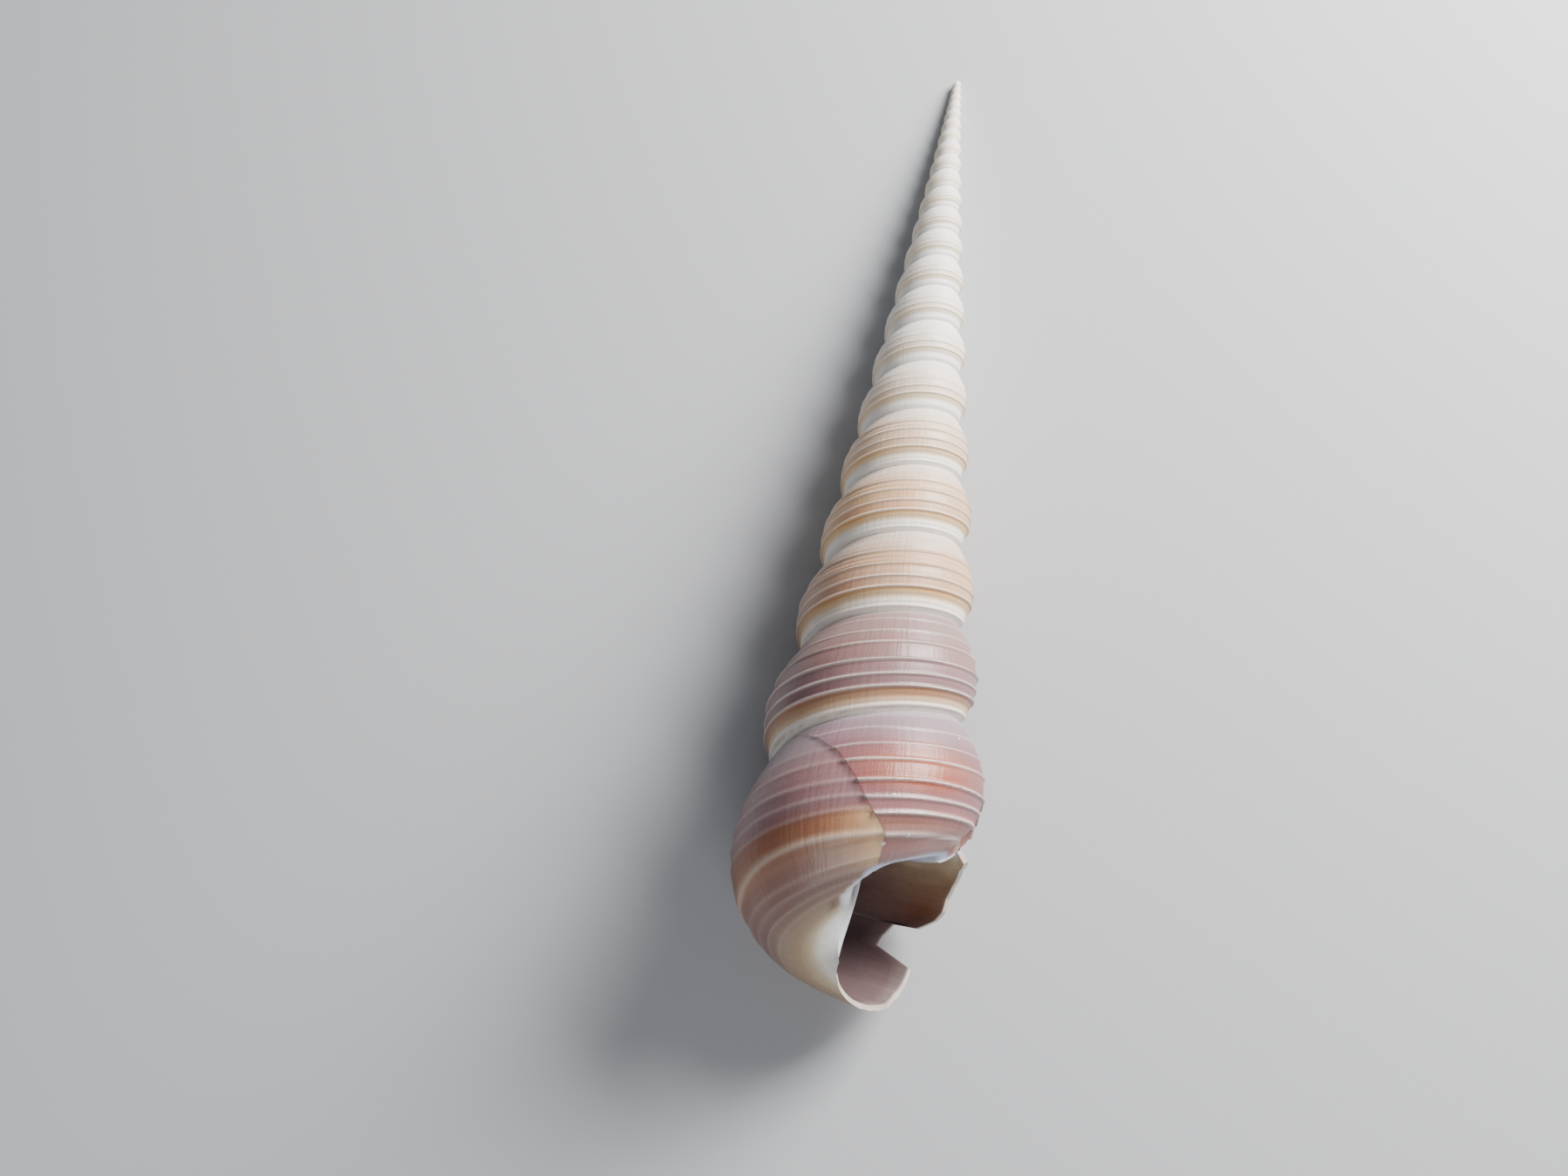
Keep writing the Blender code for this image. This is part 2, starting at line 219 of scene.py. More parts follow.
# Each cord: its share across the whorl at each of these turns, its height by the whorl's own
# size, and its width as a share across.
CORD_TURNS = [-3.75, -2.75, -1.75, -1.30, -0.93, -0.80, -0.72]
CORDS = [
    ([0.060, 0.060, 0.035, 0.035, 0.050, 0.040, 0.030], 0.0004, 0.014),
    ([0.160, 0.170, 0.110, 0.110, 0.210, 0.180, 0.143], 0.0009, 0.011),
    ([0.240, 0.245, 0.260, 0.260, 0.365, 0.325, 0.293], 0.0012, 0.011),
    ([0.330, 0.335, 0.395, 0.400, 0.510, 0.462, 0.425], 0.0022, 0.013),
    ([0.490, 0.510, 0.575, 0.585, 0.690, 0.622, 0.585], 0.0029, 0.0135),
    ([0.640, 0.655, 0.705, 0.720, 0.805, 0.750, 0.703], 0.0022, 0.0125),
    ([0.765, 0.770, 0.810, 0.820, 0.905, 0.853, 0.817], 0.0030, 0.0135),
    ([0.955, 0.955, 0.955, 0.965, 1.030, 0.986, 0.958], 0.0020, 0.014),
]
MENDED_TURNS = [-0.75, -0.70, -0.62, -0.53, -0.30, 0.00]
MENDED_CORDS = [
    ([0.300, 0.290, 0.280, 0.290, 0.300, 0.300], 0.0003, 0.022),
    ([0.420, 0.408, 0.405, 0.415, 0.420, 0.420], 0.0006, 0.020),
    ([0.590, 0.570, 0.558, 0.570, 0.580, 0.580], 0.0008, 0.020),
    ([0.705, 0.680, 0.670, 0.685, 0.700, 0.700], 0.0008, 0.018),
    ([0.800, 0.776, 0.770, 0.785, 0.800, 0.800], 0.0007, 0.018),
    ([0.960, 0.937, 0.932, 0.985, 1.000, 1.000], 0.0012, 0.020),
    ([1.115, 1.110, 1.110, 1.120, 1.120, 1.120], 0.0006, 0.020),
    ([1.200, 1.200, 1.205, 1.215, 1.220, 1.220], 0.0007, 0.020),
    ([1.290, 1.300, 1.310, 1.320, 1.320, 1.320], 0.0006, 0.020),
    ([1.400, 1.410, 1.420, 1.430, 1.430, 1.430], 0.0006, 0.022),
]
FULL_CREST = 0.0020         # a cord of this height or more has a full crest
CREST_SHARPNESS = 1.3       # above 1 the crest is narrower than the cord
MENDED_CREST = 0.6          # how strong the mended cords' crests are

SEAM_HOLLOW = 0.0016        # depth of the smooth hollow band between the two lowest cords
HOLLOW_BELOW_KEEL = 0.045   # share across from the upper one of them to the band
HOLLOW_ABOVE_SEAM = 0.035   # and from the band to the lower one
HOLLOW_SLOPE = 0.05         # share across over which the band reaches its depth

BREAK_ACROSS = [0.00, 0.06, 0.15, 0.25, 0.33, 0.42, 0.55, 0.70, 0.80, 0.90, 0.98, 1.10, 1.20, 1.40, 2.00]
BREAK_TURN = [-0.590, -0.615, -0.652, -0.676, -0.694, -0.706, -0.722,
              -0.737, -0.748, -0.763, -0.773, -0.776, -0.778, -0.777, -0.770]
BREAK_STEP = 0.0014         # how far the mended wall starts below the old one
BREAK_RECOVERY = 0.10       # turns over which it comes back up
BREAK_EDGE = 0.004          # turns over which the old wall ends

THREAD_HEIGHT = 0.00045     # fine threads on the upper part of the spire's whorls
THREAD_COUNT = 15.0         # across a whole whorl
THREAD_LIMIT = 0.62         # share across where they end
THREAD_START = -1.9         # turn before which they show
RING_HEIGHT = 0.00010       # growth rings, each the mouth's edge at some time
RINGS_PER_TURN = 23.0
RING_LAG = 0.16             # turns by which a ring falls back from the seam down to the base


def break_turn(across):
    """Turn of the old break at a place across the whorl."""
    return curve_through(BREAK_ACROSS, BREAK_TURN, across)


def since_break(turn, across):
    """Turns grown since the break, below 0 on the old wall."""
    return turn - break_turn(np.clip(across, 0.0, 2.0))


def cord_set(cords, cord_turns, turn, across):
    """Relief by the whorl's own size, and a 0 to 1 mask of the cords' crests."""
    relief = np.zeros(across.shape)
    crest = np.zeros(across.shape)
    for track, height, width in cords:
        spot = curve_through(cord_turns, track, turn)
        away = np.abs(across - spot) / width
        relief = relief + height * np.exp(-away ** 2)
        crest = crest + min(height / FULL_CREST, 1.0) * np.exp(-(away * CREST_SHARPNESS) ** 2)
    return relief, np.clip(crest, 0.0, 1.0)


def cord_pattern(turn, across):
    """Relief by the whorl's own size, the crests' mask, and 1 on the mended part."""
    turn, across = np.broadcast_arrays(np.asarray(turn, float), np.asarray(across, float))
    old_relief, old_crest = cord_set(CORDS, CORD_TURNS, turn, across)
    new_relief, new_crest = cord_set(MENDED_CORDS, MENDED_TURNS, turn, across)
    below_keel = curve_through(CORD_TURNS, CORDS[-2][0], turn) + HOLLOW_BELOW_KEEL
    above_seam = curve_through(CORD_TURNS, CORDS[-1][0], turn) - HOLLOW_ABOVE_SEAM
    band = ease((across - below_keel) / HOLLOW_SLOPE) * ease((above_seam - across) / HOLLOW_SLOPE)
    old_relief = old_relief - SEAM_HOLLOW * band
    new = ease(since_break(turn, across) / BREAK_EDGE)
    relief = old_relief + (new_relief - old_relief) * new
    crest = old_crest + (new_crest * MENDED_CREST - old_crest) * new
    return relief, crest, new


def wall_relief(turn, across):
    """Height of the ornament above the smooth outside, in metres."""
    relief, _, new = cord_pattern(turn, across)
    # The step at the break is full on the whorl's side and fades out over the base.
    since = np.maximum(since_break(turn, across), 0.0)
    reach = ease((1.9 - across) / 0.6) * (0.25 + 0.75 * ease(across / 0.4))
    step = -BREAK_STEP * new * np.exp(-since / BREAK_RECOVERY) * reach
    threads = THREAD_HEIGHT * np.cos(2.0 * np.pi * THREAD_COUNT * across)
    threads = threads * ease((THREAD_LIMIT - across) / 0.2)
    relief = relief + threads * ease((THREAD_START - turn) / 0.8)
    # The rings aren't evenly spaced, because the shell didn't grow evenly.
    growth = turn + RING_LAG * ease(across / 1.2)
    uneven = 2.0 * np.sin(growth * 41.0)
    rings = RING_HEIGHT * np.sin(growth * 2.0 * np.pi * RINGS_PER_TURN + uneven)
    # Everything fades out at the seam, where two whorls share one row of points.
    relief = relief * ease(across / 0.03) + step + rings * ease(across / 0.06)
    return relief * whorl_size(turn) * SEAM_REACH


# ---------------------------------------------------------------- the shell
# One piece of shell stuff, cream on the spire and reddish brown on the last whorls, with white
# cords. Its lip is thin and broken, with a square notch, and its inside is smooth and dull.

# The broken lip: share across, then the turn where the wall ends.
LIP_EDGE = [
    (0.00, 0.000), (0.09, 0.017), (0.13, -0.028), (0.23, -0.065), (0.31, -0.084), (0.40, -0.095),
    (0.46, -0.109), (0.535, -0.139), (0.54, -0.174), (0.64, -0.188), (0.71, -0.193), (0.81, -0.142),
    (0.92, -0.144), (1.00, -0.147), (1.12, -0.150), (1.31, -0.166), (1.50, -0.190),
    (1.70, -0.220), (1.85, -0.255), (2.00, -0.320),
]
LIP_BLEND = 0.35            # turns behind the mouth over which the rings bend to meet the lip
LIP_WALL = 0.0005           # metres, at the broken lip
INNER_LIP_WALL = 0.0003     # metres, at the mouth where the whorl above is the hollow's roof
DEEP_WALL = 0.0010          # metres, deep inside
WALL_RAMP = 0.25            # turns over which the wall comes to its full thickness
SEAM_WALL = 1.5             # how much thicker the roof is where it meets the seam
HOLLOW_TURNS = 1.25         # how far back the hollow runs
PILLAR_FACE = 0.0085        # the pillar's face in the hollow, by the whorl's own size
POINT_CAP = 0.35            # turns from the first whorl on to the height of the blunt tip
CORD_RISE = 0.0003          # how far the cords stand above the solid's smooth top

STEPS_PER_TURN = 66
HOLLOW_STEPS_PER_TURN = 33
BREAK_ROWS = [-0.004, 0.0, 0.004]       # extra rings laid close together along the break
LIP_ROW = 0.0045                        # one more ring just behind the lip
SIDE_COUNTS = [(-12, 20), (-5, 56), (-1, 120)]       # rows across a whorl, up to that turn
BASE_COUNT = 44
ROOF_COUNT = 20
PILLAR_STEPS = 6

# Round the hollow, across runs on: 2.0 to 2.3 up the pillar and 2.3 to 3.0 along the roof.
PILLAR_ACROSS = 0.3
ROOF_ACROSS = [2.3, 3.0]
ROOF_ON_WHORL = [2.0, 1.05]             # the same roof, across the whorl above

BREAK_AT_SEAM = BREAK_TURN[0] + 1.0
ring_steps = set(round(step / STEPS_PER_TURN, 6) for step in range(STEPS_PER_TURN))
ring_steps.update(round(BREAK_AT_SEAM + offset, 6) for offset in BREAK_ROWS)
ring_steps.add(1.0 - LIP_ROW)
RING_STEPS = np.array(sorted(ring_steps))

lip_across = [spot for spot, _ in LIP_EDGE]
lip_turns = [spot_turn for _, spot_turn in LIP_EDGE]
side_rows = np.linspace(0.0, 1.0, SIDE_COUNTS[-1][1] + 1)
base_rows = np.linspace(1.0, 2.0, BASE_COUNT + 1)
LAST_ACROSS = np.array(sorted(set(np.concatenate([side_rows, base_rows, lip_across]).round(5))))
LAST_LIP = np.interp(LAST_ACROSS, lip_across, lip_turns)
CORNER = int(np.searchsorted(LAST_ACROSS, 1.0))
OUTER = len(LAST_ACROSS) - 1
PILLAR_SHARE = np.arange(1, PILLAR_STEPS + 1) / (PILLAR_STEPS + 1)


class Surface:
    """Points, their place on the wall, and faces, for one mesh."""

    def __init__(self):
        self.points = []
        self.facts = []
        self.faces = []

    def add_row(self, points, turn, across, hollow, glaze):
        """One row of points with their facts; gives back their numbers."""
        first = len(self.points)
        count = len(points)
        self.points.extend(tuple(point) for point in points)
        columns = [np.broadcast_to(np.asarray(value, float), count)
                   for value in (turn, across, hollow, glaze)]
        self.facts.extend(zip(*columns))
        return list(range(first, first + count))

    def strip(self, row_a, row_b):
        """Four-sided faces between two rows with the same number of points."""
        for a_here, a_next, b_next, b_here in zip(row_a, row_a[1:], row_b[1:], row_b):
            self.faces.append((a_here, a_next, b_next, b_here))

    def zip_rows(self, row_a, row_b):
        """Triangles between two rows with different numbers of points."""
        last_a = len(row_a) - 1
        last_b = len(row_b) - 1
        at_a = 0
        at_b = 0
        while at_a < last_a or at_b < last_b:
            a_is_behind = (at_a + 1) * last_b <= (at_b + 1) * last_a
            if at_b == last_b or (at_a < last_a and a_is_behind):
                self.faces.append((row_a[at_a], row_a[at_a + 1], row_b[at_b]))
                at_a += 1
            else:
                self.faces.append((row_a[at_a], row_b[at_b + 1], row_b[at_b]))
                at_b += 1


def wall_points(turn, across):
    """Points on the outside of the wall, with its ornament."""
    turn, across = np.broadcast_arrays(np.asarray(turn, float), np.asarray(across, float))
    return place(*raised_outline(turn, across, wall_relief(turn, across)), turn)


def add_spire(surface):
    """Every whorl but the last. Each row starts on the end of the row one whorl before it."""
    rows = []
    per_turn = len(RING_STEPS)
    for step in range((WHORL_COUNT - 1) * per_turn):
        turn = -WHORL_COUNT + step // per_turn + RING_STEPS[step % per_turn]
        count = next(count for limit, count in SIDE_COUNTS if turn < limit)
        across = np.linspace(0.0, 1.0, count + 1)
        points = wall_points(turn, across)
        if step < per_turn:
            row = surface.add_row(points, turn, across, 0.0, 0.0)
        else:
            row = surface.add_row(points[1:], turn, across[1:], 0.0, 0.0)
            row = [rows[step - per_turn][-1]] + row
        if rows and len(rows[-1]) == len(row):
            surface.strip(rows[-1], row)
        elif rows:
            surface.zip_rows(rows[-1], row)
        rows.append(row)
    return rows


def close_point(surface, rows):
    """Triangles from the blunt tip to the open edge of the first whorl."""
    tip_height = seam(-WHORL_COUNT - POINT_CAP)[1]
    tip = surface.add_row([place(0.0, tip_height, 0.0)], -WHORL_COUNT, 0.0, 0.0, 0.0)[0]
    first_edge = rows[0][::-1] + [row[0] for row in rows[1:len(RING_STEPS) + 1]]
    for here, after in zip(first_edge, first_edge[1:]):
        surface.faces.append((here, after, tip))


def last_ring(turn):
    """Where one ring of the last whorl runs: along the break, then along the lip at the mouth."""
    start = BREAK_TURN[0]
    break_bend = break_turn(LAST_ACROSS) - start
    lead = np.interp(turn, [-1.0, start, -LIP_BLEND, 0.0], [0.0, 1.0, 1.0, 0.0])
    lip = np.interp(turn, [-LIP_BLEND, 0.0], [0.0, 1.0])
    return turn + lead * break_bend + lip * LAST_LIP


def add_last_whorl(surface, spire_rows):
    """The last whorl's side and base, out to the broken lip."""
    rows = []
    per_turn = len(RING_STEPS)
    pillar_glaze = ease((LAST_ACROSS - 1.72) / 0.28) * 0.9
    for step in range(per_turn + 1):
        turn = -1.0 + (RING_STEPS[step] if step < per_turn else 1.0)
        ring = last_ring(turn)
        points = wall_points(ring, LAST_ACROSS)
        row = surface.add_row(points[1:], ring[1:], LAST_ACROSS[1:], 0.0, pillar_glaze[1:])
        seam_point = spire_rows[step - per_turn][-1] if step < per_turn else rows[0][CORNER]
        rows.append([seam_point] + row)
    surface.zip_rows(spire_rows[-1], rows[0][:CORNER + 1])
    for row, after in zip(rows, rows[1:]):
        surface.strip(row, after)
    return rows


def wall_depth(at_lip, behind_lip):
    """Thickness of the wall in metres, so many turns behind its lip."""
    return at_lip + (DEEP_WALL - at_lip) * ease(behind_lip / WALL_RAMP)


def hollow_section(turn):
    """One ring of the hollow: outer wall, base, pillar, then the whorl above, back to the seam."""
    radius = np.zeros(len(turn))
    height = np.zeros(len(turn))
    seam_radius, seam_height = seam(turn[0])
    roof_depth = wall_depth(INNER_LIP_WALL, -turn[0])
    radius[0] = seam_radius
    height[0] = seam_height + SEAM_WALL * roof_depth / SEAM_REACH

    wall = slice(1, OUTER + 1)
    depth = wall_depth(LIP_WALL, LAST_LIP[1:] - turn[wall])
    radius[wall], height[wall] = raised_outline(turn[wall], LAST_ACROSS[1:], -depth)

    roof = slice(len(turn) - ROOF_COUNT, len(turn))
    on_whorl = np.linspace(*ROOF_ON_WHORL, ROOF_COUNT)
    radius[roof], height[roof] = raised_outline(turn[roof] - 1.0, on_whorl, roof_depth)

    pillar = slice(OUTER + 1, roof.start)
    floor_height = wall_outline(turn[pillar], 2.0)[1] - DEEP_WALL / SEAM_REACH
    roof_height = wall_outline(turn[pillar] - 1.0, 2.0)[1] + roof_depth / SEAM_REACH
    radius[pillar] = PILLAR_FACE * whorl_size(turn[pillar])
    height[pillar] = floor_height + (roof_height - floor_height) * PILLAR_SHARE
    return place(radius, height, turn)


def add_hollow(surface, body_rows):
    """The hollow up from the mouth, its closed end, and the edge that joins it to the outside."""
    pillar_start = LAST_LIP[-1] * (1.0 - PILLAR_SHARE)
    start = np.concatenate([[0.0], LAST_LIP[1:], pillar_start, np.zeros(ROOF_COUNT)])
    up_pillar = 2.0 + PILLAR_ACROSS * PILLAR_SHARE
    across = np.concatenate([LAST_ACROSS, up_pillar, np.linspace(*ROOF_ACROSS, ROOF_COUNT)])
    # The glaze lies on the pillar, on the end of the roof and beside the seam.
    inner_side = ease((across - 1.75) / 0.2) * ease((ROOF_ACROSS[0] - across) / 0.04)
    inner_side = inner_side + ease((across - 2.75) / 0.07) + ease((0.06 - across) / 0.06)
    count = round(HOLLOW_TURNS * HOLLOW_STEPS_PER_TURN)
    rows = []
    for behind in [0.0, LIP_ROW] + [HOLLOW_TURNS * step / count for step in range(1, count + 1)]:
        share = behind / HOLLOW_TURNS
        turn = start * (1.0 - share) - HOLLOW_TURNS * share
        glaze = np.clip(inner_side, 0.0, 1.0) * (1.0 - ease(behind / 0.10))
        rows.append(surface.add_row(hollow_section(turn), turn, across, 1.0, glaze))
    for row, after in zip(rows, rows[1:]):
        surface.strip(after + after[:1], row + row[:1])
    end = rows[-1]
    middle = np.mean([surface.points[corner] for corner in end], axis=0)
    centre = surface.add_row([middle], -HOLLOW_TURNS, 1.0, 1.0, 0.0)[0]
    for here, after in zip(end, end[1:] + end[:1]):
        surface.faces.append((here, centre, after))
    ring = rows[0]
    roof_start = len(ring) - ROOF_COUNT
    surface.strip(ring[:OUTER + 1], body_rows[-1])
    surface.zip_rows(ring[OUTER:roof_start + 1], [row[-1] for row in body_rows[::-1]])
    surface.zip_rows(ring[roof_start:] + ring[:1], body_rows[0][CORNER:][::-1])


surface = Surface()
spire_rows = add_spire(surface)
close_point(surface, spire_rows)
body_rows = add_last_whorl(surface, spire_rows)
add_hollow(surface, body_rows)

# The wall is centred on the solid, with its cords a little above the solid's top. What would
# reach below the ground is pressed flat on it, as if worn off.
points = np.array(surface.points)
own_middle = (points.min(axis=0) + points.max(axis=0)) / 2.0
box_middle = (shell_low + shell_high) / 2.0
points = points - own_middle + box_middle
points[:, 2] += shell_high[2] + CORD_RISE - points[:, 2].max()
points[:, 2] = np.maximum(points[:, 2], shell_low[2])

mesh = bpy.data.meshes.new("shell_wall")
mesh.from_pydata(points.tolist(), [], surface.faces)
turn, across, hollow, glaze = np.array(surface.facts).T
outside = 1.0 - hollow


def display(*colour):
    """Display colours, 0 to 255, as linear light."""
    return ((np.array(colour, float) / 255.0 + 0.055) / 1.055) ** 2.4


def bands(stops, places):
    """Colour at each place along a row of stops, each a place and a display colour."""
    spots = [spot for spot, colour in stops]
    table = display(*[colour for spot, colour in stops])
    return np.stack([np.interp(places, spots, table[:, part]) for part in range(3)], axis=-1)


def count_cords(cords, cord_turns, turn, across):
    """How many cords lie above a place, with parts of one between them."""
    tracks = [np.zeros(turn.shape)]
    tracks += [curve_through(cord_turns, track, turn) for track, height, width in cords]
    count = np.zeros(turn.shape)
    for above, below in zip(tracks, tracks[1:]):
        count += np.clip((across - above) / (below - above), 0.0, 1.0)
    return count + np.clip((across - tracks[-1]) / (2.0 - tracks[-1]), 0.0, 1.0)


def blend(first, second, share):
    """The first colour, or the second where share is 1."""
    return first + (second - first) * np.asarray(share)[..., None]


def line_at(value, middle, width):
    """1 at the middle, fading out softly to both sides."""
    return np.exp(-((value - middle) / width) ** 2)


# Colours down a whorl, each at the number of cords that lie above it.
POINT_BANDS = [
    (0.0, (248, 245, 240)), (4.0, (242, 236, 229)), (6.4, (230, 216, 198)), (7.2, (234, 216, 186)),
    (7.8, (248, 245, 240)), (9.0, (248, 245, 240)),
]
SPIRE_BANDS = [
    (0.0, (230, 220, 210)), (1.0, (220, 202, 190)), (4.0, (212, 176, 140)), (5.0, (210, 168, 126)),
    (6.0, (206, 168, 134)), (7.0, (208, 166, 128)), (7.1, (206, 160, 104)), (7.4, (224, 194, 148)),
    (7.7, (242, 232, 216)), (8.0, (246, 242, 234)), (9.0, (242, 238, 230)),
]
LOWER_BANDS = [
    (0.0, (178, 166, 162)), (0.5, (156, 138, 136)), (1.0, (146, 122, 120)), (3.0, (142, 114, 110)),
    (4.0, (140, 106, 101)), (5.0, (141, 108, 107)), (6.0, (140, 108, 110)), (6.9, (134, 102, 102)),
    (7.08, (146, 102, 76)), (7.50, (180, 140, 108)), (7.80, (208, 180, 150)), (7.94, (238, 230, 218)),
    (8.4, (246, 243, 236)), (9.0, (250, 249, 245)),
]
BODY_BANDS = [
    (0.0, (190, 182, 186)), (0.5, (158, 144, 152)), (1.4, (142, 120, 128)), (2.6, (144, 110, 114)),
    (3.0, (144, 92, 84)), (4.0, (164, 82, 50)), (5.0, (160, 82, 54)), (6.0, (140, 96, 98)),
    (7.0, (152, 108, 104)), (7.5, (152, 104, 92)), (7.9, (158, 122, 112)), (8.06, (150, 110, 104)),
    (8.2, (146, 120, 120)), (8.5, (146, 126, 128)), (9.0, (150, 134, 130)),
]
MENDED_BANDS = [
    (0.0, (156, 144, 148)), (0.5, (138, 120, 126)), (1.0, (142, 114, 116)), (2.0, (144, 107, 108)),
    (3.0, (142, 105, 107)), (4.0, (142, 106, 109)), (4.9, (140, 100, 96)), (5.1, (138, 88, 66)),
    (5.7, (148, 100, 76)), (5.95, (184, 154, 130)), (6.1, (150, 110, 90)), (7.0, (140, 108, 101)),
    (8.0, (128, 100, 93)), (9.0, (130, 107, 97)), (10.0, (142, 120, 102)), (10.35, (160, 138, 112)),
    (10.55, (196, 176, 146)), (10.72, (234, 228, 216)), (10.9, (240, 238, 234)), (11.0, (236, 236, 236)),
]
# Colours round the hollow, each at its share across. The dark brown on the roof, from 2.30 to 2.75, is
# painted shade, like the throat's.
HOLLOW_BANDS = [
    (0.00, (222, 210, 190)), (0.10, (204, 182, 150)), (0.24, (156, 122, 92)), (0.42, (138, 90, 62)),
    (0.54, (116, 88, 80)), (0.80, (112, 93, 93)), (1.20, (114, 97, 96)), (1.60, (122, 107, 106)),
    (1.80, (170, 162, 162)), (2.00, (224, 226, 230)), (2.26, (200, 190, 186)), (2.30, (104, 80, 76)),
    (2.75, (104, 80, 76)), (2.82, (196, 206, 232)), (3.00, (196, 206, 232)),
]
MAUVE = display(124, 94, 101)
GOLDEN = display(222, 188, 142)
LOWER_CREST = display(226, 214, 206)
SPIRE_CREST = display(244, 238, 228)
SEAM_DIRT = display(168, 158, 104)
BREAK_SHADE_BROWN = display(96, 62, 52)
RIM_SHADOW_BROWN = display(92, 70, 50)
PORCELAIN = display(228, 226, 226)
BLUISH_PORCELAIN = display(196, 206, 232)
THROAT_SHADE_BROWN = display(104, 80, 76)
DEEP_SHADE_BROWN = display(108, 87, 88)
GLAZE = display(236, 238, 242)
LIP_HIGHLIGHT = display(216, 204, 192)

# The old wall: white at the point, cream on the spire, brown below, rusty on the last whorl.
old_count = count_cords(CORDS, CORD_TURNS, turn, across)
new_count = count_cords(MENDED_CORDS, MENDED_TURNS, turn, across)
colour = bands(LOWER_BANDS, old_count)
colour = blend(colour, bands(SPIRE_BANDS, old_count), ease((-2.05 - turn) / 1.0))
colour = blend(colour, bands(POINT_BANDS, old_count), ease((-3.4 - turn) / 4.0))
mauve = 0.75 * (1.0 - line_at(turn, -0.81, 0.07))
mauve = mauve * ease((old_count - 2.0) / 1.0) * ease((6.5 - old_count) / 1.0)
body = blend(bands(BODY_BANDS, old_count), MAUVE, mauve)
colour = blend(colour, body, ease((turn + 1.30) / 0.35))

# The mended part, with a golden patch beside the break, low on the whorl.
_, crest, mended = cord_pattern(turn, across)
since = since_break(turn, across)
golden = mended * np.exp(-np.maximum(since, 0.0) / 0.035) * ease((across - 0.74) / 0.12)
golden = golden * ease((1.30 - across) / 0.2)
new_colour = blend(bands(MENDED_BANDS, new_count), GOLDEN, golden * 0.92)
colour = blend(colour, new_colour, mended)

# The cords' pale crests, yellowish dirt in dashes along the seams, and a brown line along the break,
# painted as the shade of its step.
crest_colour = np.broadcast_to(LOWER_CREST, colour.shape)
crest_colour = blend(crest_colour, SPIRE_CREST, ease((-2.0 - turn) / 2.0))
colour = blend(colour, crest_colour, crest * 0.68)
ragged = 0.5 + 0.3 * np.sin(turn * 190.0 + 2.0 * np.sin(turn * 67.0)) + 0.2 * np.sin(turn * 431.0)
seam_dirt = ease((ragged - 0.35) / 0.2) * line_at(across, 0.972, 0.005)
seam_dirt = seam_dirt * ease((turn + 2.4) / 0.6) * ease((-1.02 - turn) / 0.1)
colour = blend(colour, SEAM_DIRT, seam_dirt * 0.8)
# Painted shade: a thin dark line along the step where the mended wall starts below the old one.
break_shade = line_at(since, 0.001, 0.0016) * ease((1.25 - across) / 0.2) * ease(across / 0.45)
colour = blend(colour, BREAK_SHADE_BROWN, break_shade * 0.4)

# The inner lip: a band of porcelain along its crest, a thin painted shadow of the rim beside it, and the
# throat behind, painted darker as the shade in its recess.
CALLUS_WIDTH = 0.0009       # metres
wall_radius = np.maximum(wall_outline(turn, across)[0], PILLAR_RADIUS)
callus_turns = CALLUS_WIDTH / SEAM_REACH / wall_radius / (2.0 * math.pi)
callus = ease((throat_crest(across) + callus_turns - turn) / callus_turns / 0.5)
callus = callus * ease((across - 1.17 + 0.35 * np.clip(-0.80 - turn, 0.0, 0.2)) / 0.05)
# A thin dark line just inside the porcelain band is painted shadow: the shadow that the rim throws.
rim_shadow = line_at(turn - throat_crest(across), 1.5 * callus_turns, 0.5 * callus_turns)
rim_shadow = rim_shadow * ease((across - 1.42) / 0.08) * ease((1.66 - across) / 0.08)
colour = blend(colour, RIM_SHADOW_BROWN, rim_shadow * 0.7 * outside)
porcelain = np.broadcast_to(PORCELAIN, colour.shape)
porcelain = blend(porcelain, BLUISH_PORCELAIN, ease((1.40 - across) / 0.2))
colour = blend(colour, porcelain, callus * outside * (turn > -1.05))
# The stepped-back throat is painted a darker brown: painted shade in the recess behind the inner lip.
throat_shade = ease((throat(turn, across) - 0.50) / 0.45)
colour = blend(colour, THROAT_SHADE_BROWN, throat_shade * outside)

# The inside, painted darker further in as the shade deep in the hollow, with its glaze, and a painted
# highlight along the edge of the thin lip.
behind = np.clip(-turn, 0.0, HOLLOW_TURNS)
inner = blend(bands(HOLLOW_BANDS, across), DEEP_SHADE_BROWN, 0.88 * ease((behind - 0.07) / 0.16))
colour = blend(colour, inner, hollow)
colour = blend(colour, GLAZE, glaze * hollow)
# A thin painted highlight along the broken lip's edge.
lip_behind = np.interp(across, lip_across, lip_turns) - turn
lip_highlight = ease((0.005 - lip_behind) / 0.004) * (across <= 2.0) * (turn > -0.6)
colour = blend(colour, LIP_HIGHLIGHT, lip_highlight * 0.8)
wet = np.clip(callus + glaze + 0.45 * hollow, 0.0, 1.0)

for name, values in (("turn", turn), ("across", across), ("wet", wet), ("hollow", hollow)):
    layer = mesh.attributes.new(name, "FLOAT", "POINT")
    layer.data.foreach_set("value", values.astype(np.float32))
layer = mesh.attributes.new("shell_colour", "FLOAT_COLOR", "POINT")
layer.data.foreach_set("color", np.c_[colour, np.ones(len(colour))].astype(np.float32).ravel())

whole = bmesh.new()
whole.from_mesh(mesh)
bmesh.ops.recalc_face_normals(whole, faces=whole.faces)
whole.to_mesh(mesh)
whole.free()
mesh.shade_smooth()
mesh.set_sharp_from_angle(angle=math.radians(50.0))
shell_wall = bpy.data.objects.new("shell_wall", mesh)
scene.collection.objects.link(shell_wall)
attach(shell_wall, "root")
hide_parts("shell")

shell_stuff = bpy.data.materials.new("shell_stuff")
shell_stuff.use_nodes = True
nodes = shell_stuff.node_tree.nodes
links = shell_stuff.node_tree.links
shader = nodes["Principled BSDF"]


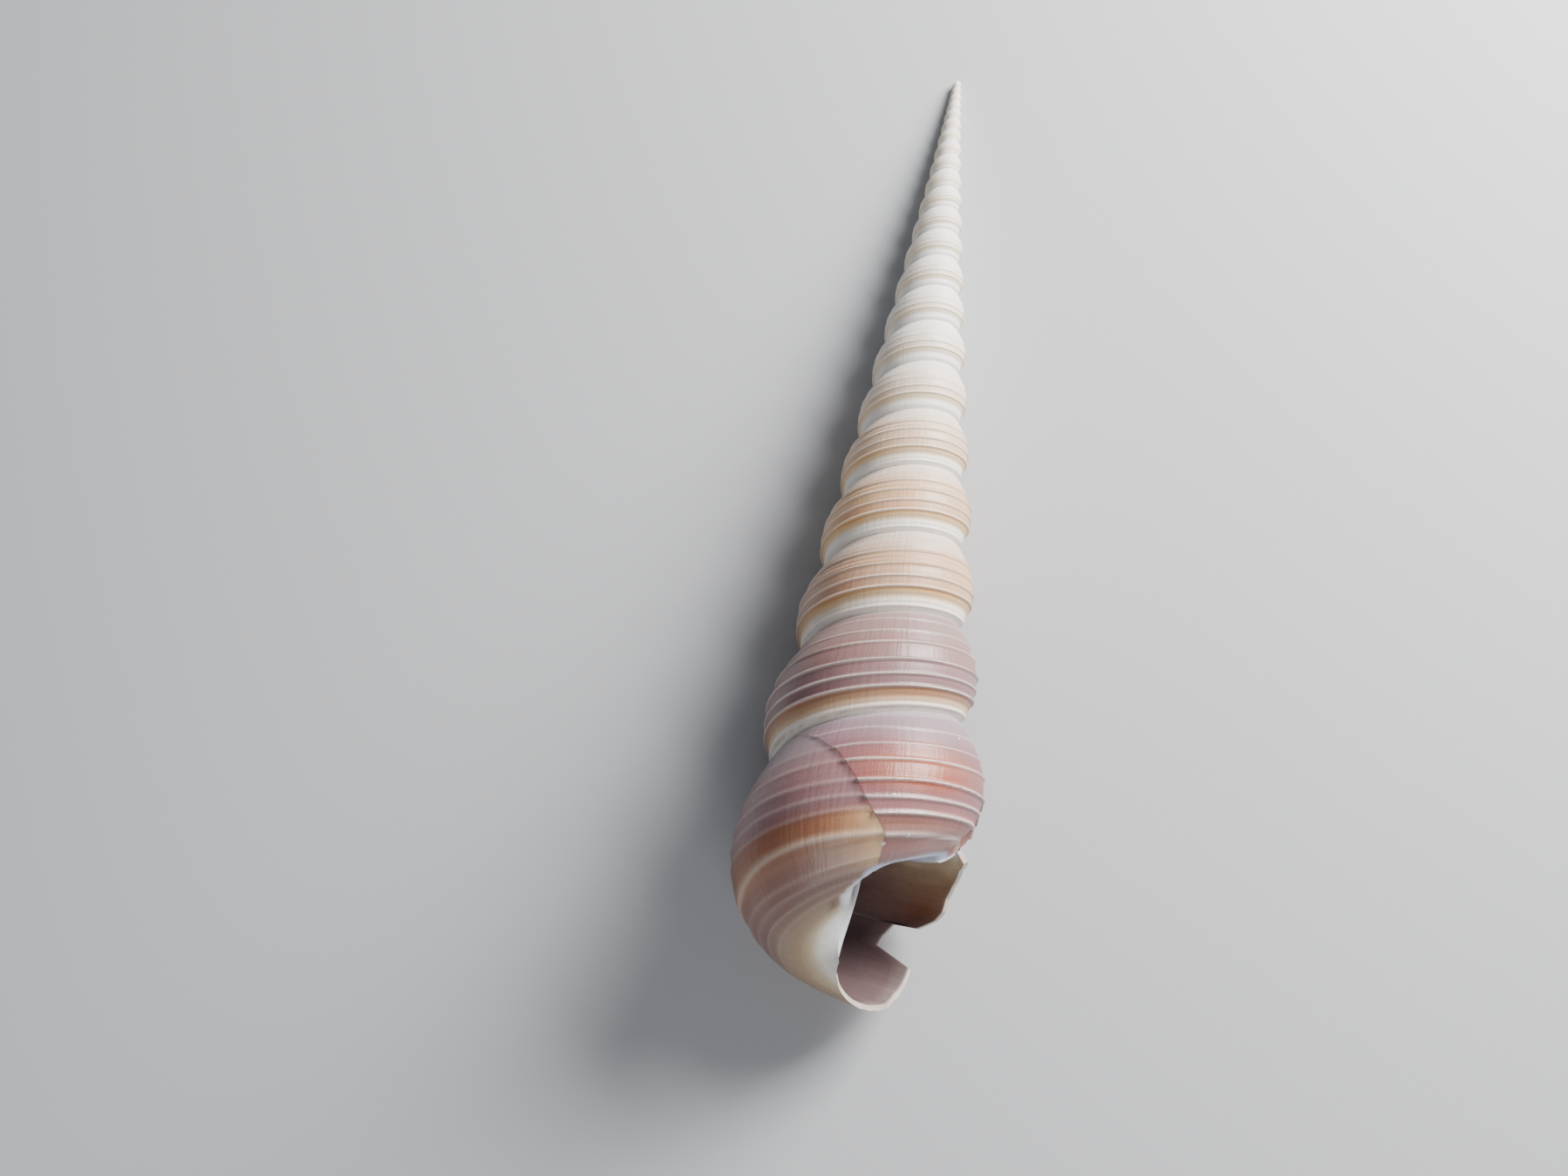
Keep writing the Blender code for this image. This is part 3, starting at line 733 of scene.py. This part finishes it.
def read_fact(name, output="Fac"):
    """A value kept on the mesh's points."""
    node = nodes.new("ShaderNodeAttribute")
    node.attribute_name = name
    return node.outputs[output]


def maths(kind, *values, clamp=False):
    """One step of arithmetic on numbers and sockets."""
    node = nodes.new("ShaderNodeMath")
    node.operation = kind
    node.use_clamp = clamp
    for socket, value in zip(node.inputs, values):
        if isinstance(value, (int, float)):
            socket.default_value = value
        else:
            links.new(value, socket)
    return node.outputs[0]


def wall_place(along, down):
    """A place on the wall, counted in so many spots along a turn and down a whorl."""
    spot = nodes.new("ShaderNodeCombineXYZ")
    links.new(maths("MULTIPLY", read_fact("turn"), along), spot.inputs["X"])
    links.new(maths("MULTIPLY", read_fact("across"), down), spot.inputs["Y"])
    return spot.outputs["Vector"]


def wall_noise(along, down, detail):
    """Noise stretched to fit the wall."""
    noise = nodes.new("ShaderNodeTexNoise")
    noise.inputs["Scale"].default_value = 1.0
    noise.inputs["Detail"].default_value = detail
    links.new(wall_place(along, down), noise.inputs["Vector"])
    return noise.outputs["Fac"]


def patchy(noise, slope, offset):
    """0 where the noise is low and 1 where it is high."""
    return maths("MULTIPLY_ADD", noise, slope, offset, clamp=True)


def tint(colour_in, amount, hue, saturation, value):
    """The colour shifted by this much where amount is 1."""
    node = nodes.new("ShaderNodeHueSaturation")
    node.inputs["Hue"].default_value = hue
    node.inputs["Saturation"].default_value = saturation
    node.inputs["Value"].default_value = value
    links.new(colour_in, node.inputs["Color"])
    links.new(amount, node.inputs["Fac"])
    return node.outputs["Color"]


growth_lines = wall_noise(along=150.0, down=2.5, detail=3.0)
patches = wall_noise(along=9.0, down=5.0, detail=3.0)
streaks = wall_noise(along=1.2, down=60.0, detail=2.0)
grain = wall_noise(along=240.0, down=90.0, detail=2.0)
stained = maths("MULTIPLY", patchy(patches, 5.0, -2.3), read_fact("hollow"))
worn = read_fact("shell_colour", "Color")
worn = tint(worn, patchy(patches, 3.0, -1.35), hue=0.490, saturation=1.15, value=1.03)
worn = tint(worn, patchy(growth_lines, 3.0, -1.3), hue=0.5, saturation=0.96, value=0.94)
worn = tint(worn, patchy(streaks, 3.0, -1.4), hue=0.5, saturation=0.90, value=1.06)
worn = tint(worn, stained, hue=0.5, saturation=1.05, value=0.72)

# Sparse pale chips on the outside, one at most in each cell, with ragged edges.
CHIP_SIZE = 0.13            # in cells
CHIP_RAGGED = 0.12
CHIPLESS = 0.80             # share of the cells without a chip
cells = nodes.new("ShaderNodeTexVoronoi")
cells.inputs["Scale"].default_value = 1.0
links.new(wall_place(along=26.0, down=7.0), cells.inputs["Vector"])
cell_split = nodes.new("ShaderNodeSeparateColor")
links.new(cells.outputs["Color"], cell_split.inputs["Color"])
from_middle = maths("MULTIPLY_ADD", grain, CHIP_RAGGED, cells.outputs["Distance"])
chip = maths("LESS_THAN", from_middle, CHIP_SIZE)
chip = maths("MULTIPLY", chip, maths("GREATER_THAN", cell_split.outputs["Red"], CHIPLESS))
chip = maths("MULTIPLY", chip, maths("SUBTRACT", 1.0, read_fact("hollow")))
chipped = nodes.new("ShaderNodeMix")
chipped.data_type = "RGBA"
links.new(maths("MULTIPLY", chip, 0.75), chipped.inputs["Factor"])
links.new(worn, chipped.inputs[6])
chipped.inputs[7].default_value = (0.80, 0.76, 0.72, 1.0)
links.new(chipped.outputs[2], shader.inputs["Base Color"])

# Half gloss, uneven, and smoother where the shell is glazed.
roughness = maths("MULTIPLY_ADD", patches, 0.24, 0.24)
roughness = maths("MULTIPLY_ADD", read_fact("wet"), -0.14, roughness)
links.new(roughness, shader.inputs["Roughness"])
shader.inputs["Specular IOR Level"].default_value = 0.45

# Fine growth lines and grain, weaker on the inside.
fine_relief = maths("MULTIPLY_ADD", growth_lines, 0.65, maths("MULTIPLY", grain, 0.25))
bump = nodes.new("ShaderNodeBump")
bump.inputs["Distance"].default_value = 0.00025
links.new(maths("MULTIPLY_ADD", read_fact("hollow"), -0.30, 0.38), bump.inputs["Strength"])
links.new(fine_relief, bump.inputs["Height"])
links.new(bump.outputs["Normal"], shader.inputs["Normal"])
mesh.materials.append(shell_stuff)


# ---------------------------------------------------------------- floor, light and camera
# A plain pale table. One soft lamp on the right, past the shell's point, throws the shadow, and
# two weaker ones, on the left and past the mouth, fill it in. The camera looks down from above.

bpy.ops.mesh.primitive_plane_add(size=4.0, location=(0.0, 0.0, float(shell_low[2])))
floor = bpy.context.object
floor.name = "floor"
paper = bpy.data.materials.new("pale_paper")
paper.use_nodes = True
paper_shader = paper.node_tree.nodes["Principled BSDF"]
paper_shader.inputs["Base Color"].default_value = (0.48, 0.49, 0.51, 1.0)
paper_shader.inputs["Roughness"].default_value = 0.9
floor.data.materials.append(paper)

middle = Vector(box_middle)


def soft_lamp(name, offset, power, size, colour):
    """A square lamp aimed at the shell, its offset from the shell's middle in shell lengths."""
    data = bpy.data.lights.new(name, "AREA")
    data.energy = power
    data.size = size
    data.color = colour
    lamp = bpy.data.objects.new(name, data)
    lamp.location = middle + Vector(offset) * SHELL_LENGTH
    lamp.rotation_euler = (middle - lamp.location).to_track_quat("-Z", "Y").to_euler()
    scene.collection.objects.link(lamp)


soft_lamp("key_lamp", (1.7, 1.75, 1.25), 5.0, 0.20, (1.0, 0.99, 0.97))
soft_lamp("fill_lamp", (-2.4, -2.2, 3.0), 0.24, 0.45, (0.90, 0.94, 1.0))
soft_lamp("back_lamp", (0.6, -3.0, 2.0), 0.8, 0.30, (1.0, 1.0, 1.0))

world = bpy.data.worlds.new("studio")
world.use_nodes = True
sky = world.node_tree.nodes["Background"]
sky.inputs["Color"].default_value = (0.85, 0.9, 1.0, 1.0)
sky.inputs["Strength"].default_value = 0.12
scene.world = world

CAMERA_OFFSET = Vector((-0.0321, -0.5761, 1.3548))      # from the box's middle, in shell lengths
CAMERA_TILT = 17.94         # degrees from straight down
CAMERA_HEADING = 8.45       # degrees, turned to the left from +Y
camera_data = bpy.data.cameras.new("camera")
camera_data.sensor_width = 36.0
camera_data.lens = 35.61
camera_data.clip_start = 0.01
camera = bpy.data.objects.new("camera", camera_data)
camera.location = middle + CAMERA_OFFSET * SHELL_LENGTH
camera.rotation_euler = (math.radians(CAMERA_TILT), 0.0, math.radians(CAMERA_HEADING))
scene.collection.objects.link(camera)
bpy.context.scene.camera = camera
